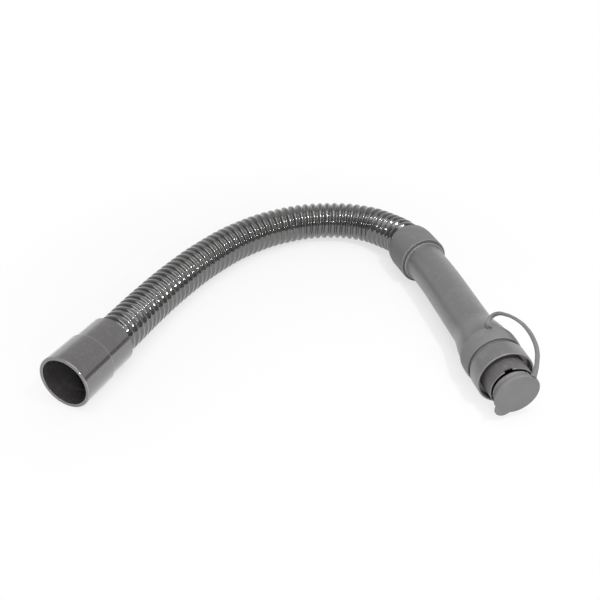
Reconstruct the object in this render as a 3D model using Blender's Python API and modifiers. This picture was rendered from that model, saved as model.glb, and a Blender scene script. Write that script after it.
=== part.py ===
"""Dirty water drain hose: a ribbed hose with a push-on inlet cuff, and a soft drain pipe
closed by a plug that hangs on its own strap. It lies on the floor as it comes to rest.
Metres, +Z up, +X to the right and +Y away from the viewer."""

import math

import bmesh
import bpy
from mathutils import Matrix, Vector

MM = 0.001

# Gap that touching pieces keep, and how near two points are made one
fit_gap = 0.3 * MM
merge_distance = 0.01 * MM

# Ribbed hose, wound left-handed
hose_bore_radius = 19.0 * MM
hose_wall = 0.9 * MM
rib_height = 2.6 * MM
rib_pitch = 8.9 * MM
rib_crest_width = 3.0 * MM
rib_flank_width = 1.7 * MM
hose_sides = 16
bore_ring_spacing = 17 * MM

# Inlet cuff: a wide mouth, a soft step and a narrower tail that grips the hose
mouth_bore_radius = 25.4 * MM
mouth_wall = 3.8 * MM
mouth_depth = 42 * MM
mouth_edge_bevel = 0.8 * MM
mouth_draft = 0.6 * MM
inlet_web = 8 * MM
inlet_grip = 29 * MM
inlet_tail_wall = 3.9 * MM
inlet_step_length = 4.5 * MM
tail_end_bevel = 1.8 * MM

# Outlet cuff: a round shoulder on the hose and a socket for the drain pipe
outlet_grip = 16 * MM
outlet_web = 3 * MM
pipe_plug_depth = 24 * MM
outlet_socket_wall = 2.8 * MM
shoulder_lip = 1.5 * MM
shoulder_length = 16 * MM
outlet_rim_bevel = 0.9 * MM

# Drain pipe, with a plug at its start and a bell at its end. Stations run from the outlet cuff's rim
pipe_bore_radius = 19.2 * MM
pipe_wall = 3.0 * MM
pipe_end_wall = 3.2 * MM
plug_radius = 24.9 * MM
plug_wall = 3.6 * MM
plug_bead_length = 3.2 * MM
plug_bead_round = 1.2 * MM
flare_start = 142 * MM
flare_length = 32 * MM
bell_radius = 27.2 * MM
flange_station = 205 * MM
flange_width = 19 * MM
flange_radius = 29.3 * MM
flange_round = 1.4 * MM
lip_wall = 2.3 * MM
recess_depth = 8 * MM

# Neck that the plug closes, seated in the bell
neck_radius = 24.5 * MM
neck_wall = 2.5 * MM
neck_reach = 20.2 * MM
neck_seat_depth = 26 * MM
neck_edge_round = 0.6 * MM
notch_width = 8.2 * MM
notch_depth = 5.5 * MM
notch_turn = 18

# Tethered cap: ring, strap, disc, plug skirt and pull tab in one moulding
ring_station = 178.4 * MM
ring_width = 20 * MM
ring_edge_wall = 1.1 * MM
ring_crown = 1.3 * MM
strap_width = 4.9 * MM
strap_thickness = 3.2 * MM
cap_radius = 23.4 * MM
cap_thickness = 2.9 * MM
cap_edge_round = 0.9 * MM
skirt_clearance = 1.2 * MM
skirt_wall = 2 * MM
skirt_depth = 9 * MM
skirt_waist = 1.4 * MM
cap_turn = 3.6
cap_nod = 5.1
tab_radius = 10 * MM
tab_reach = 5.3 * MM
tab_thickness = 2.4 * MM
tab_angle = 56

# Where the ends lie on the floor: plan places of the two rims, and the ways their axes point
inlet_mouth_place = Vector((-226.8, 644.3)) * MM
inlet_heading = 64.7
outlet_rim_place = Vector((144.8, 868.2)) * MM
outlet_heading = -71.0
drain_heading = -76.85
drain_bend_station = 32 * MM

# The hose between its cuffs, chosen by hand: x, y and how far it is lifted off the floor
hose_route = [
    (-167.9, 778.6, 1.9),
    (-141.3, 833.8, 0.2),
    (-108.5, 885.4, 0.0),
    (-68.8, 930.0, 0.0),
    (-22.4, 960.9, 0.0),
    (27.9, 974.6, 0.0),
    (78.4, 967.9, 0.3),
    (108.0, 946.3, 1.9),
]

# The strap's middle line, chosen by hand, curls in one plane, and its narrow edge looks along strap_side.
# Each point is right, how far above the ring (start) or the disc's centre (end), and along from that one
strap_side = Vector((-0.76, 0.60, 0.25)).normalized()
strap_start = [
    (-2.4, 0.1, 3.6),
    (-1.0, 1.5, -3.4),
    (2.8, 5.4, -6.8),
    (7.9, 10.3, -4.4),
    (12.8, 13.4, 3.1),
]
strap_end = [
    (18.0, 45.0, -54.1),
    (21.7, 44.5, -40.6),
    (23.6, 40.2, -25.6),
    (22.7, 34.5, -14.1),
    (19.4, 28.0, -5.6),
    (16.2, 23.0, -0.1),
    (13.4, 19.1, 2.6),
]

# Sizes that follow from those above
valley_radius = hose_bore_radius + hose_wall
crest_radius = valley_radius + rib_height
socket_radius = crest_radius + fit_gap
mouth_radius = mouth_bore_radius + mouth_wall
inlet_tail_radius = socket_radius + inlet_tail_wall
inlet_length = mouth_depth + inlet_web + inlet_grip
outlet_socket_radius = plug_radius + fit_gap
outlet_radius = outlet_socket_radius + outlet_socket_wall
outlet_length = outlet_grip + outlet_web + pipe_plug_depth
pipe_radius = pipe_bore_radius + pipe_wall
pipe_end_radius = pipe_bore_radius + pipe_end_wall
pipe_end_station = flange_station + flange_width
ring_bore_radius = bell_radius + fit_gap
neck_bore_radius = neck_radius - neck_wall
neck_end_station = pipe_end_station + neck_reach
recess_station = pipe_end_station - recess_depth
lip_radius = flange_radius - lip_wall
ring_outer_radius = ring_bore_radius + ring_edge_wall + ring_crown

# The cap leans on the neck's rim at its lowest side
cap_lean = math.hypot(math.sin(math.radians(cap_nod)), math.sin(math.radians(cap_turn)))
cap_station = neck_end_station + fit_gap + cap_radius * cap_lean

# The inlet cuff lies on its drafted mouth, and the drain end on its outlet cuff and its ring
inlet_tilt = -math.degrees(math.asin(mouth_draft / mouth_depth))
outlet_foot = outlet_length - shoulder_length
ring_foot = ring_station + ring_width / 2
drain_lean = (ring_outer_radius - outlet_radius) / (ring_foot + outlet_foot)
drain_rise = math.degrees(math.asin(drain_lean))


def empty_scene():
    for item in list(bpy.data.objects):
        bpy.data.objects.remove(item)


def new_collection(name, hidden=False):
    collection = bpy.data.collections.new(name)
    collection.hide_render = hidden
    bpy.context.scene.collection.children.link(collection)
    return collection


def new_material(name, colour, roughness, specular=0.5):
    material = bpy.data.materials.new(name)
    material.use_nodes = True
    shader = material.node_tree.nodes["Principled BSDF"]
    shader.inputs["Base Color"].default_value = (*colour, 1.0)
    shader.inputs["Roughness"].default_value = roughness
    shader.inputs["Metallic"].default_value = 0.0
    shader.inputs["Specular IOR Level"].default_value = specular
    material.diffuse_color = (*colour, 1.0)
    return material


def add_object(name, data, collection, material=None):
    made = bpy.data.objects.new(name, data)
    made.parent = floor_frame
    collection.objects.link(made)
    if material:
        made.data.materials.append(material)
    return made


def hide_helper(helper):
    helper.hide_render = True
    helper.display_type = "WIRE"
    return helper


def baked_mesh(source, name):
    """The mesh that an object's modifiers or curve make, with the object itself removed."""
    graph = bpy.context.evaluated_depsgraph_get()
    mesh = bpy.data.meshes.new_from_object(source.evaluated_get(graph))
    mesh.name = name
    bpy.data.objects.remove(source)
    return mesh


def tidy_mesh(mesh):
    """Joins the loose points, turns the faces outwards and shades the round faces smooth."""
    work = bmesh.new()
    work.from_mesh(mesh)
    bmesh.ops.remove_doubles(work, verts=work.verts, dist=merge_distance)
    bmesh.ops.recalc_face_normals(work, faces=work.faces)
    work.to_mesh(mesh)
    work.free()
    mesh.shade_smooth()
    mesh.set_sharp_from_angle(angle=math.radians(35))
    return mesh


def direction(heading, rise):
    level = math.cos(math.radians(rise))
    return Vector(
        (
            math.cos(math.radians(heading)) * level,
            math.sin(math.radians(heading)) * level,
            math.sin(math.radians(rise)),
        )
    )


def frame_along(axis):
    """Turns local Z along the axis, local X to its left and local Y up."""
    left = Vector((0, 0, 1)).cross(axis).normalized()
    return Matrix((left, axis.cross(left), axis)).transposed().to_4x4()


def arc(centre, radii, start, end, steps):
    """Points (radius, station) along an elliptic arc, with the angles in degrees from the radius axis."""
    points = []
    for step in range(steps + 1):
        angle = math.radians(start + (end - start) * step / steps)
        points.append((centre[0] + radii[0] * math.cos(angle), centre[1] + radii[1] * math.sin(angle)))
    return points


def eased(start, end, steps):
    """Points along a line that leaves and arrives level, as a moulded flare does."""
    points = []
    for step in range(steps + 1):
        share = step / steps
        blend = share * share * (3 - 2 * share)
        points.append((start[0] + (end[0] - start[0]) * blend, start[1] + (end[1] - start[1]) * share))
    return points


def turned_mesh(name, outline, sides, closed=True):
    """A profile of (radius, station) points spun about local Z."""
    mesh = bpy.data.meshes.new(name)
    edges = [(i, i + 1) for i in range(len(outline) - 1)]
    if closed:
        edges.append((len(outline) - 1, 0))
    mesh.from_pydata([(radius, 0, station) for radius, station in outline], edges, [])
    profile = add_object(name, mesh, helpers)
    screw = profile.modifiers.new("turn", "SCREW")
    screw.steps = screw.render_steps = sides
    screw.use_merge_vertices = True
    screw.merge_threshold = merge_distance
    return tidy_mesh(baked_mesh(profile, name))


def guide_curve(name, stops):
    """A smooth route through (place, direction or None) stops, used to bend straight pieces."""
    curve = bpy.data.curves.new(name, "CURVE")
    curve.dimensions = "3D"
    curve.twist_mode = "Z_UP"
    curve.resolution_u = 24
    spline = curve.splines.new("BEZIER")
    spline.bezier_points.add(len(stops) - 1)
    for index, (place, heading) in enumerate(stops):
        point = spline.bezier_points[index]
        point.co = place
        if heading is None:
            point.handle_left_type = point.handle_right_type = "AUTO"
            continue
        before = (place - stops[max(index - 1, 0)][0]).length / 3
        after = (stops[min(index + 1, len(stops) - 1)][0] - place).length / 3
        point.handle_left_type = point.handle_right_type = "FREE"
        point.handle_left = place - heading * before
        point.handle_right = place + heading * after
    return hide_helper(add_object(name, curve, helpers))


def bend_along(piece, guide):
    bend = piece.modifiers.new("bend", "CURVE")
    bend.object = guide
    bend.deform_axis = "POS_Z"


def add_boolean(piece, helper, operation):
    step = piece.modifiers.new(helper.name, "BOOLEAN")
    step.operation = operation
    step.object = helper


def helical_mesh(length):
    """The ribbed outer surface as one closed body, a turn longer than the hose at each end."""
    turns = math.ceil(length / rib_pitch) + 3
    half_crest = rib_crest_width / 2
    foot = half_crest + rib_flank_width
    heights = [(crest_radius, -half_crest), (crest_radius, half_crest), (valley_radius, foot),
               (valley_radius, rib_pitch - foot), (crest_radius, rib_pitch - half_crest)]
    mesh = bpy.data.meshes.new("rib_profile")
    mesh.from_pydata([(radius, 0, station) for radius, station in heights],
                     [(i, i + 1) for i in range(len(heights) - 1)], [])
    profile = add_object("rib_profile", mesh, helpers)
    screw = profile.modifiers.new("wind", "SCREW")
    screw.angle = -2 * math.pi
    screw.screw_offset = rib_pitch
    screw.iterations = turns
    screw.steps = screw.render_steps = hose_sides
    wound = baked_mesh(profile, "hose_wound")
    wound.transform(Matrix.Translation((0, 0, -1.5 * rib_pitch)))
    work = bmesh.new()
    work.from_mesh(wound)
    bmesh.ops.remove_doubles(work, verts=work.verts, dist=merge_distance)
    rims = [edge for edge in work.edges if edge.is_boundary]
    capped = bmesh.ops.extrude_edge_only(work, edges=rims)["geom"]
    new_points = [item for item in capped if isinstance(item, bmesh.types.BMVert)]
    near_end = [point for point in new_points if point.co.z < length / 2]
    far_end = [point for point in new_points if point.co.z > length / 2]
    bmesh.ops.pointmerge(work, verts=near_end, merge_co=(0, 0, -4 * rib_pitch))
    bmesh.ops.pointmerge(work, verts=far_end, merge_co=(0, 0, length + 4 * rib_pitch))
    bmesh.ops.recalc_face_normals(work, faces=work.faces)
    work.to_mesh(wound)
    work.free()
    return wound


def hose_envelope_mesh(length):
    """The straight tube that trims the ends square and leaves the bore open."""
    outside = crest_radius + rib_height
    rings = math.ceil(length / bore_ring_spacing)
    bore = [(hose_bore_radius, length * ring / rings) for ring in range(rings + 1)]
    return turned_mesh("hose_envelope", [(outside, length), (outside, 0)] + bore, hose_sides)


def make_inlet_cuff(frame, material):
    bevel = mouth_edge_bevel
    step_end = mouth_depth + inlet_step_length
    tail_bevel = min(tail_end_bevel, 0.6 * inlet_tail_wall)
    outline = [
        (mouth_radius - bevel, 0),
        (mouth_radius, bevel),
        (mouth_radius - mouth_draft, mouth_depth),
        *eased((mouth_radius - mouth_draft, mouth_depth + 0.2 * inlet_step_length),
               (inlet_tail_radius, step_end), 3),
        (inlet_tail_radius, inlet_length - tail_bevel),
        (inlet_tail_radius - tail_bevel, inlet_length),
        (socket_radius, inlet_length),
        (socket_radius, mouth_depth + inlet_web),
        (hose_bore_radius, mouth_depth + inlet_web),
        (hose_bore_radius, mouth_depth),
        (mouth_bore_radius, mouth_depth),
        (mouth_bore_radius, bevel),
        (mouth_bore_radius + bevel / 2, 0),
    ]
    cuff = add_object("inlet_cuff", turned_mesh("inlet_cuff", outline[::-1], 36), parts, material)
    cuff.parent = frame
    return cuff


def make_outlet_cuff(frame, material):
    lip = socket_radius + shoulder_lip
    back = -outlet_length
    shoulder = arc((lip, back + shoulder_length), (outlet_radius - lip, shoulder_length), -90, 0, 5)
    outline = [
        (socket_radius, back),
        *shoulder,
        (outlet_radius, -outlet_rim_bevel),
        (outlet_radius - outlet_rim_bevel, 0),
        (outlet_socket_radius, 0),
        (outlet_socket_radius, -pipe_plug_depth),
        (hose_bore_radius, -pipe_plug_depth),
        (hose_bore_radius, -pipe_plug_depth - outlet_web),
        (socket_radius, -pipe_plug_depth - outlet_web),
    ]
    cuff = add_object("outlet_cuff", turned_mesh("outlet_cuff", outline, 32), parts, material)
    cuff.parent = frame
    return cuff


def drain_mesh(name, outline, sides, closed=True):
    """A turned piece of the drain end, moved so that its stations start at the inner end of the plug."""
    mesh = turned_mesh(name, outline, sides, closed)
    mesh.transform(Matrix.Translation((0, 0, pipe_plug_depth)))
    return mesh


def make_drain_pipe(guide, material):
    plug_start = fit_gap - pipe_plug_depth
    bead_end = plug_bead_length
    bore_steps = 5
    neck_seat = recess_station - neck_seat_depth
    seat_radius = neck_radius + fit_gap
    outline = [
        (plug_radius, plug_start),
        *arc((plug_radius - plug_bead_round, bead_end - plug_bead_round),
             (plug_bead_round, plug_bead_round), 0, 90, 2),
        (pipe_radius + plug_bead_round, bead_end),
        (pipe_radius, bead_end + plug_bead_round),
    ]
    for step in range(1, bore_steps):
        share = step / bore_steps
        outline.append((pipe_radius + (pipe_end_radius - pipe_radius) * share, flare_start * share))
    outline += [
        *eased((pipe_end_radius, flare_start), (bell_radius, flare_start + flare_length), 5),
        (bell_radius, flange_station),
        *arc((flange_radius - flange_round, flange_station + flange_round), (flange_round, flange_round), -90, 0, 2),
        *arc((flange_radius - flange_round, pipe_end_station - flange_round), (flange_round, flange_round), 0, 90, 3),
        (lip_radius, pipe_end_station),
        (lip_radius, recess_station),
        (seat_radius, recess_station),
        (seat_radius, neck_seat),
    ]
    outline += eased((neck_bore_radius, neck_seat), (pipe_bore_radius, flare_start), 3)
    for step in range(bore_steps - 1, 1, -1):
        outline.append((pipe_bore_radius, flare_start * step / bore_steps))
    outline += eased((pipe_bore_radius, pipe_plug_depth / 2), (plug_radius - plug_wall, plug_start), 3)
    pipe = add_object("drain_pipe", drain_mesh("drain_pipe", outline, 28), parts, material)
    bend_along(pipe, guide)
    return pipe


def make_drain_neck(guide, material):
    start = recess_station - neck_seat_depth + fit_gap
    edge = neck_edge_round
    outline = [
        (neck_radius, start),
        (neck_radius, neck_end_station - edge),
        (neck_radius - edge, neck_end_station),
        (neck_bore_radius + edge, neck_end_station),
        (neck_bore_radius, neck_end_station - edge),
        (neck_bore_radius, start),
    ]
    neck = add_object("drain_neck", drain_mesh("drain_neck", outline, 32), parts, material)
    work = bmesh.new()
    bmesh.ops.create_cube(work, size=1)
    height = 4 * neck_wall
    bmesh.ops.scale(work, vec=(notch_width, height, 2 * notch_depth), verts=work.verts)
    bmesh.ops.translate(work, vec=(0, neck_radius - neck_wall / 2, neck_end_station + pipe_plug_depth),
                        verts=work.verts)
    bmesh.ops.rotate(work, matrix=Matrix.Rotation(math.radians(notch_turn), 3, "Z"), verts=work.verts)
    mesh = bpy.data.meshes.new("notch_cutter")
    work.to_mesh(mesh)
    work.free()
    cutter = hide_helper(add_object("notch_cutter", mesh, helpers))
    add_boolean(neck, cutter, "DIFFERENCE")
    bend_along(neck, guide)
    return neck


def strap_blank():
    """The strap as a flat band along its route, ending inside the ring and inside the disc."""
    section = bpy.data.curves.new("strap_section", "CURVE")
    section.dimensions = "2D"
    corners = section.splines.new("POLY")
    corners.points.add(7)
    bevel = 0.3 * strap_thickness
    across, deep = strap_thickness / 2, strap_width / 2
    outline = [(across, deep - bevel), (across - bevel, deep), (bevel - across, deep), (-across, deep - bevel),
               (-across, bevel - deep), (bevel - across, -deep), (across - bevel, -deep), (across, bevel - deep)]
    for corner, (x, y) in zip(corners.points, outline):
        corner.co = (x, y, 0, 1)
    corners.use_cyclic_u = True
    section_object = hide_helper(add_object("strap_section", section, helpers))
    curve = bpy.data.curves.new("strap_line", "CURVE")
    curve.dimensions = "3D"
    curve.resolution_u = 3
    curve.bevel_mode = "OBJECT"
    curve.bevel_object = section_object
    curve.use_fill_caps = True
    spline = curve.splines.new("BEZIER")
    route = [Vector(place) * MM + Vector((0, ring_outer_radius, ring_station)) for place in strap_start]
    route += [Vector(place) * MM + Vector((0, 0, cap_station)) for place in strap_end]
    spline.bezier_points.add(len(route) - 1)
    plane = strap_side.to_track_quat("Z", "Y").to_matrix().to_4x4()
    for point, place in zip(spline.bezier_points, route):
        point.co = plane.inverted() @ (place + Vector((0, 0, pipe_plug_depth)))
        point.handle_left_type = point.handle_right_type = "AUTO"
    curve.twist_mode = "Z_UP"
    line = add_object("strap_line", curve, helpers)
    mesh = tidy_mesh(baked_mesh(line, "strap_blank"))
    mesh.transform(plane)
    return hide_helper(add_object("strap_blank", mesh, helpers))


def cap_blank():
    """Disc and plug skirt with its sealing bead, turned about the cap's own axis."""
    bead = neck_bore_radius - skirt_clearance
    waist = bead - skirt_waist
    edge = min(cap_edge_round, cap_thickness / 2.2)
    front = cap_thickness
    outline = [
        (0, 0),
        (waist - skirt_wall, 0),
        (waist - skirt_wall, -skirt_depth),
        (waist, -skirt_depth),
        (bead, -0.75 * skirt_depth),
        (waist, -0.5 * skirt_depth),
        (waist, 0),
        (cap_radius - edge, 0),
        *arc((cap_radius - edge, edge), (edge, edge), -90, 0, 2)[1:],
        *arc((cap_radius - edge, front - edge), (edge, edge), 0, 90, 3),
        (0, front),
    ]
    mesh = turned_mesh("cap_blank", outline, 32, closed=False)
    return hide_helper(add_object("cap_blank", mesh, helpers))


def tab_blank():
    work = bmesh.new()
    bmesh.ops.create_cone(work, cap_ends=True, segments=24, radius1=tab_radius, radius2=tab_radius,
                          depth=tab_thickness)
    reach = cap_radius + tab_reach - tab_radius
    angle = math.radians(tab_angle)
    place = (-reach * math.cos(angle), -reach * math.sin(angle), cap_thickness - tab_thickness / 2)
    bmesh.ops.translate(work, vec=place, verts=work.verts)
    mesh = bpy.data.meshes.new("tab_blank")
    work.to_mesh(mesh)
    work.free()
    return hide_helper(add_object("tab_blank", mesh, helpers))


def make_tethered_cap(guide, material):
    crown = arc((ring_bore_radius + ring_edge_wall, ring_station + ring_width / 2),
                (ring_crown, ring_width / 2), -90, 90, 6)
    outline = [(ring_bore_radius, ring_station), *crown, (ring_bore_radius, ring_station + ring_width)]
    cap = add_object("tethered_cap", drain_mesh("tethered_cap", outline, 32), parts, material)
    cap_frame = (
        Matrix.Translation((0, 0, cap_station + pipe_plug_depth))
        @ Matrix.Rotation(math.radians(cap_nod), 4, "X")
        @ Matrix.Rotation(math.radians(cap_turn), 4, "Y")
    )
    disc, tab = cap_blank(), tab_blank()
    for blank in (disc, tab):
        blank.data.transform(cap_frame)
    for blank in (strap_blank(), disc, tab):
        add_boolean(cap, blank, "UNION")
    bend_along(cap, guide)
    return cap


def make_hose(guide, material):
    length = guide.data.splines[0].calc_length()
    hose = add_object("ribbed_hose", helical_mesh(length), parts, material)
    envelope = hide_helper(add_object("hose_envelope", hose_envelope_mesh(length), helpers))
    add_boolean(hose, envelope, "INTERSECT")
    bend_along(hose, guide)
    return hose


def end_frame(name, place, axis):
    frame = add_object(name, None, parts)
    frame.matrix_local = Matrix.Translation(place) @ frame_along(axis)
    return frame


def on_floor(plan, height):
    return Vector((plan.x, plan.y, height))


def centre_on_floor(pieces):
    """Moves the whole part so that the middle of its footprint is the origin and its lowest point is at 0."""
    bpy.context.view_layer.update()
    graph = bpy.context.evaluated_depsgraph_get()
    low, high = Vector((1, 1, 1)), Vector((-1, -1, -1))
    for piece in pieces:
        shaped = piece.evaluated_get(graph)
        for point in shaped.data.vertices:
            place = shaped.matrix_world @ point.co
            low = Vector(map(min, low, place))
            high = Vector(map(max, high, place))
    floor_frame.location -= Vector(((low.x + high.x) / 2, (low.y + high.y) / 2, low.z))


empty_scene()
parts = new_collection("dirty_water_drain_hose")
helpers = new_collection("cutters_and_guides", hidden=True)
floor_frame = bpy.data.objects.new("floor_frame", None)
parts.objects.link(floor_frame)

dark_plastic = new_material("hose_dark_plastic", (0.055, 0.055, 0.055), 0.32)
gloss_plastic = new_material("cuff_gloss_grey", (0.16, 0.15, 0.15), 0.22)
soft_grey = new_material("soft_rubber_grey", (0.2, 0.195, 0.195), 0.6)
pipe_grey = new_material("drain_pipe_grey", (0.19, 0.185, 0.187), 0.55)
neck_grey = new_material("neck_grey", (0.21, 0.205, 0.2), 0.5)
cap_grey = new_material("cap_grey", (0.24, 0.24, 0.245), 0.6)

inlet_axis = direction(inlet_heading, inlet_tilt)
outlet_axis = direction(outlet_heading, drain_rise)
drain_axis = direction(drain_heading, drain_rise)
inlet_mouth = on_floor(inlet_mouth_place, mouth_radius)
outlet_rim = on_floor(outlet_rim_place, outlet_radius + outlet_foot * drain_lean)

hose_start = inlet_mouth + inlet_axis * (mouth_depth + inlet_web + fit_gap)
hose_end = outlet_rim - outlet_axis * (pipe_plug_depth + outlet_web + fit_gap)
inlet_exit = inlet_mouth + inlet_axis * (inlet_length + 4 * MM)
outlet_entry = outlet_rim - outlet_axis * (outlet_length + 4 * MM)
middle_stops = [
    (on_floor(Vector((x, y)) * MM, crest_radius + lift * MM), None) for x, y, lift in hose_route
]
hose_guide = guide_curve(
    "hose_guide",
    [(hose_start, inlet_axis), (inlet_exit, inlet_axis), *middle_stops,
     (outlet_entry, outlet_axis), (hose_end, outlet_axis)],
)

drain_start = outlet_rim - outlet_axis * pipe_plug_depth
drain_corner = outlet_rim + outlet_axis * drain_bend_station
drain_straight = drain_corner + drain_axis * drain_bend_station
drain_end = drain_corner + drain_axis * (pipe_end_station - drain_bend_station)
drain_guide = guide_curve(
    "drain_guide",
    [(drain_start, outlet_axis), (outlet_rim, outlet_axis), (drain_straight, drain_axis), (drain_end, drain_axis)],
)

pieces = [
    make_inlet_cuff(end_frame("inlet_end", inlet_mouth, inlet_axis), gloss_plastic),
    make_hose(hose_guide, dark_plastic),
    make_outlet_cuff(end_frame("outlet_end", outlet_rim, outlet_axis), soft_grey),
    make_drain_pipe(drain_guide, pipe_grey),
    make_drain_neck(drain_guide, neck_grey),
    make_tethered_cap(drain_guide, cap_grey),
]
centre_on_floor(pieces)
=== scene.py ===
import math

import bmesh
import bpy
from mathutils import Matrix, Vector


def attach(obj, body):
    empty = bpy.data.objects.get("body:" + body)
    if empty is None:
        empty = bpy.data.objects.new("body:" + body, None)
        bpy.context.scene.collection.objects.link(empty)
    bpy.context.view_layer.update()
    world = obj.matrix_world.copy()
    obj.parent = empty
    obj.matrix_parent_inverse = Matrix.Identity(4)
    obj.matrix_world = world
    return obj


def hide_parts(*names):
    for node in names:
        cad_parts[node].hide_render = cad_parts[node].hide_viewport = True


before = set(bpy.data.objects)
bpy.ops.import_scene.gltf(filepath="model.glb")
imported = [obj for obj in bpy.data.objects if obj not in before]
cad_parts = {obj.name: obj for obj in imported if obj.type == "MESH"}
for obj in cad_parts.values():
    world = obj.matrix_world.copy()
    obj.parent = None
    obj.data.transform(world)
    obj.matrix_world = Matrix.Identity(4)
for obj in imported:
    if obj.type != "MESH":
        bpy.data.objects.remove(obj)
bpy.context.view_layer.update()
print("frame loaded:", ", ".join(sorted(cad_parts)))

mm = 0.001
tiny = 1e-7
weldReach = 1e-6
fitGap = 0.3 * mm
nearlyStraight = math.radians(172)
sharpEdge = math.radians(50)

# where the rest frame of the source puts the floor plan's zero
planShift = Vector((12.8158, -808.321, 0.027)) * mm

hoseSizes = {
    "boreRadius": 19.0 * mm,
    "valleyRadius": 20.0 * mm,
    "crestRadius": 22.5 * mm,
    "pitch": 8.9 * mm,
    "ribFullness": 1.7,
    "sides": 60,
    "stepsPerTurn": 16,
    "boreRings": 180,
    "weldReach": 0.01 * mm,
}

inletSizes = {
    "heading": 64.7,
    "mouthPlace": (-226.8, 644.3),
    "mouthRadius": 29.2 * mm,
    "mouthBore": 25.4 * mm,
    "mouthDepth": 42 * mm,
    "stepStart": 41.8 * mm,
    "draft": 0.6 * mm,
    "web": 8 * mm,
    "grip": 29 * mm,
    "tailRadius": 26.7 * mm,
    "stepLength": 1.9 * mm,
    "sides": 128,
}

outletSizes = {
    "heading": -71.0,
    "rimPlace": (144.8, 868.2),
    "radius": 28.0 * mm,
    "socket": 25.2 * mm,
    "plugDepth": 24 * mm,
    "web": 3 * mm,
    "grip": 16 * mm,
    "shoulderLip": 1.5 * mm,
    "shoulderLength": 16 * mm,
    "sides": 128,
}

pipeSizes = {
    "heading": -76.85,
    "bendStation": 32 * mm,
    "bore": 19.2 * mm,
    "radius": 22.2 * mm,
    "endRadius": 22.4 * mm,
    "plugRadius": 24.9 * mm,
    "plugBore": 21.3 * mm,
    "beadLength": 3.2 * mm,
    "flareStart": 142 * mm,
    "flareLength": 32 * mm,
    "bellRadius": 27.2 * mm,
    "flangeStart": 205 * mm,
    "flangeWidth": 19 * mm,
    "flangeRadius": 29.3 * mm,
    "lipRadius": 27.2 * mm,
    "recess": 9 * mm,
    "sides": 112,
}

neckSizes = {
    "radius": 22.7 * mm,
    "bore": 21.3 * mm,
    "reach": 15.0 * mm,
    "seatDepth": 26 * mm,
    "notchWidth": 8.2 * mm,
    "notchDepth": 2.6 * mm,
    "notchTurn": 18,
    "notchRound": 0.8 * mm,
    "sides": 112,
}

capSizes = {
    "ringStation": 178.4 * mm,
    "ringWidth": 20 * mm,
    "ringBore": 27.5 * mm,
    "ringWall": 1.1 * mm,
    "ringCrown": 1.3 * mm,
    "radius": 23.4 * mm,
    "thickness": 2.9 * mm,
    "rimGap": 5.5 * mm,
    "turn": 3.6,
    "nod": 5.1,
    "beadRadius": 20.8 * mm,
    "waistRadius": 19.4 * mm,
    "skirtWall": 2 * mm,
    "skirtDepth": 9 * mm,
    "tabRadius": 10 * mm,
    "tabReach": 5.3 * mm,
    "tabThickness": 2.4 * mm,
    "tabAngle": 56,
    "tabRound": 0.8 * mm,
    "strapWidth": 4.9 * mm,
    "strapThickness": 3.2 * mm,
    "strapEdgeRound": 0.9 * mm,
    "strapRootGrowth": 0.35,
    "strapSpacing": 0.9 * mm,
    "strapSide": (-0.76, 0.60, 0.25),
    "sharpEdge": 42,
    "sides": 112,
}

# the hose's way over the floor between its cuffs: x, y and lift
hoseRoute = [
    (-167.9, 778.6, 1.9),
    (-141.3, 833.8, 0.2),
    (-108.5, 885.4, 0.0),
    (-68.8, 930.0, 0.0),
    (-22.4, 960.9, 0.0),
    (27.9, 974.6, 0.0),
    (78.4, 967.9, 0.3),
    (108.0, 946.3, 1.9),
]

# the strap's middle line: right, how far above the ring or the disc's centre, and along from it
strapStart = [
    (-2.4, 0.1, 3.6),
    (-1.0, 1.5, -3.4),
    (2.8, 5.4, -6.8),
    (7.9, 10.3, -4.4),
    (12.8, 13.4, 3.1),
]
strapEnd = [
    (18.0, 45.0, -54.1),
    (21.7, 44.5, -40.6),
    (23.6, 40.2, -25.6),
    (22.7, 34.5, -14.1),
    (19.4, 28.0, -5.6),
    (16.2, 23.0, -0.1),
    (13.4, 19.1, 2.6),
]


# helpers for meshes
def newMeshObject(name, mesh, material=None):
    made = bpy.data.objects.new(name, mesh)
    bpy.context.scene.collection.objects.link(made)
    if material:
        mesh.materials.clear()
        mesh.materials.append(material)
    return made


def bakedMesh(source, name):
    graph = bpy.context.evaluated_depsgraph_get()
    mesh = bpy.data.meshes.new_from_object(source.evaluated_get(graph))
    mesh.name = name
    old = source.data
    bpy.data.objects.remove(source)
    if old and old.users == 0 and isinstance(old, bpy.types.Mesh):
        bpy.data.meshes.remove(old)
    return mesh


def direction(heading, rise):
    level = math.cos(rise)
    turn = math.radians(heading)
    return Vector((math.cos(turn) * level, math.sin(turn) * level, math.sin(rise)))


def frameAlong(place, axis):
    left = Vector((0, 0, 1)).cross(axis).normalized()
    turn = Matrix((left, axis.cross(left), axis)).transposed().to_4x4()
    return Matrix.Translation(place) @ turn


def roundedOutline(corners, steps=4):
    # corners are (radius, station, rounding); each sharp corner becomes a small arc
    made = []
    count = len(corners)
    for index, (radius, station, rounding) in enumerate(corners):
        here = Vector((radius, station))
        before = Vector(corners[index - 1][:2]) - here
        after = Vector(corners[(index + 1) % count][:2]) - here
        shortest = min(before.length, after.length)
        if rounding <= 0 or shortest < tiny or before.angle(after) > nearlyStraight:
            made.append(tuple(here))
            continue
        reach = min(rounding / math.tan(before.angle(after) / 2), 0.48 * shortest)
        first = here + before.normalized() * reach
        last = here + after.normalized() * reach
        for step in range(steps + 1):
            share = step / steps
            point = first * (1 - share) ** 2 + here * 2 * share * (1 - share) + last * share**2
            made.append(tuple(point))
    return made


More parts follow.
